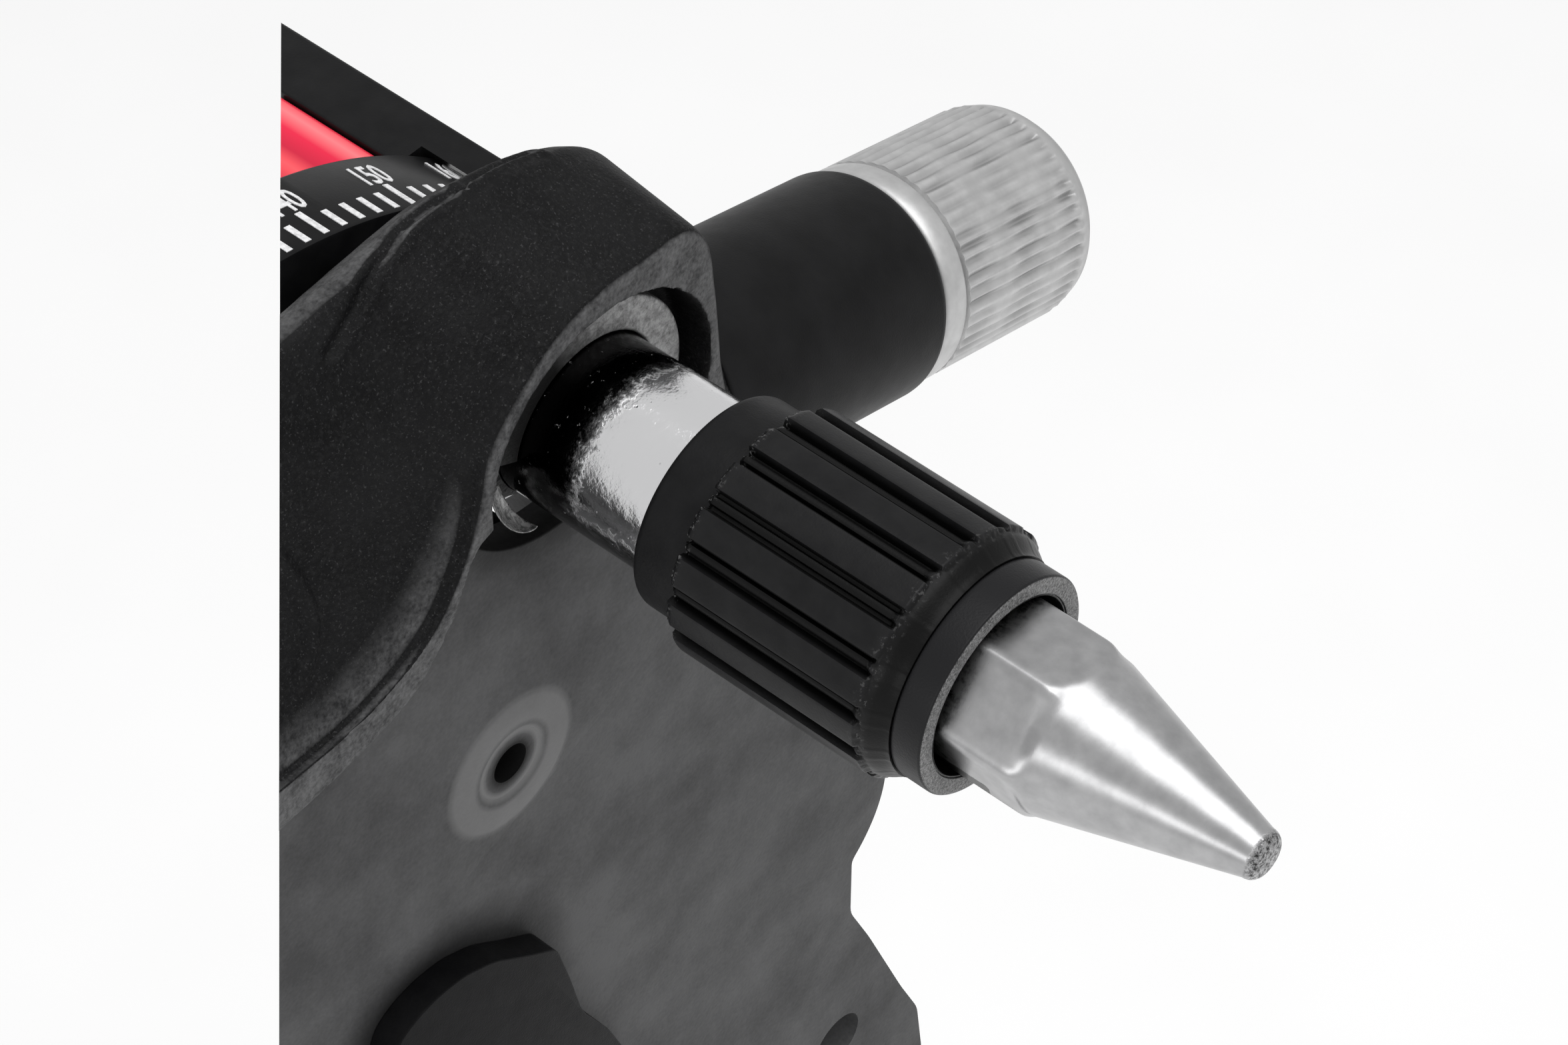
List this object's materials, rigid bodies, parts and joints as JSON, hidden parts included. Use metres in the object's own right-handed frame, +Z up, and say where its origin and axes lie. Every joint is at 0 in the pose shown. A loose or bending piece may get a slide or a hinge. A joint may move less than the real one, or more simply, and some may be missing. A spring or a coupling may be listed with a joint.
{
  "type": "center punch",
  "caption": "Spring-loaded centre punch with a ribbed turning sleeve and hexagon-to-cone point, carried in a cast instrument arm with a side clamp knob.",
  "frame": {"origin": "a point on the flat root face, where the arm meets the rest of its instrument, on the arm casting", "axes": "+X along the punch axis towards its point, +Z up, +Y to the side that the clamp knob is on"},
  "size_m": [0.0877, 0.0819, 0.1284],
  "materials": {
    "black_paint": "fine textured black powder coat",
    "black_plastic": "moulded satin black",
    "grey_paint": "matt dark grey powder coat",
    "red_plastic": "glossy red",
    "chrome": "bright chrome plate with fine pits",
    "steel": "turned and lightly polished steel",
    "aluminium": "satin turned aluminium",
    "brass": "turned brass"
  },
  "bodies": {
    "head": {"arm_casting": "black_paint", "base_cover": "grey_paint", "centre_cap": "black_plastic", "cover_lug": "black_paint", "cover_screw": "steel", "barrel": "chrome", "circlip": "steel", "back_washer": "steel", "recess_disc": "aluminium", "spring_clip": "steel", "adjuster_plug": "brass", "main_spring": "steel", "front_bush": "brass", "return_spring": "steel", "clamp_tube": "black_paint", "index_ring": "black_plastic", "ring_carrier": "black_paint", "upper_housing": "black_plastic", "red_panel": "red_plastic"},
    "sleeve": {"rear_collar": "black_plastic", "grip_sleeve": "black_plastic", "sleeve_core": "brass", "nose_ring": "black_plastic"},
    "point": {"punch_point": "steel", "drive_pin": "steel"},
    "striker": {"striker": "steel"},
    "knob": {"knurled_knob": "aluminium"},
    "pusher": {"clamp_screw": "steel", "clamp_cotter": "steel"}
  },
  "joints": [
    {"name": "sleeve_turn", "type": "hinge", "parent": "head", "child": "sleeve", "pos_m": [0.0195, 0.02155, -0.002], "axis": [1, 0, 0], "continuous": true},
    {"name": "point_plunge", "type": "slide", "parent": "head", "child": "point", "axis": [-1, 0, 0], "range_m": [0, 0.0032], "stiffness_N_per_m": 800, "springref_m": -0.002, "deforming": ["return_spring"]},
    {"name": "striker_slide", "type": "slide", "parent": "head", "child": "striker", "axis": [-1, 0, 0], "range_m": [0, 0.0032], "deforming": ["main_spring"]},
    {"name": "knob_turn", "type": "hinge", "parent": "head", "child": "knob", "pos_m": [-0.0025, 0.01926, -0.00998], "axis": [0, 0.9611, -0.2763], "range_deg": [0, 360]},
    {"name": "cotter_slide", "type": "slide", "parent": "head", "child": "pusher", "axis": [0, -0.9611, 0.2763], "range_m": [0, 0.0007]}
  ],
  "couplings": [
    {"joint": "striker_slide", "follows": "point_plunge", "ratio": 1},
    {"joint": "knob_turn", "follows": "cotter_slide", "rad_per_m": 8976}
  ]
}
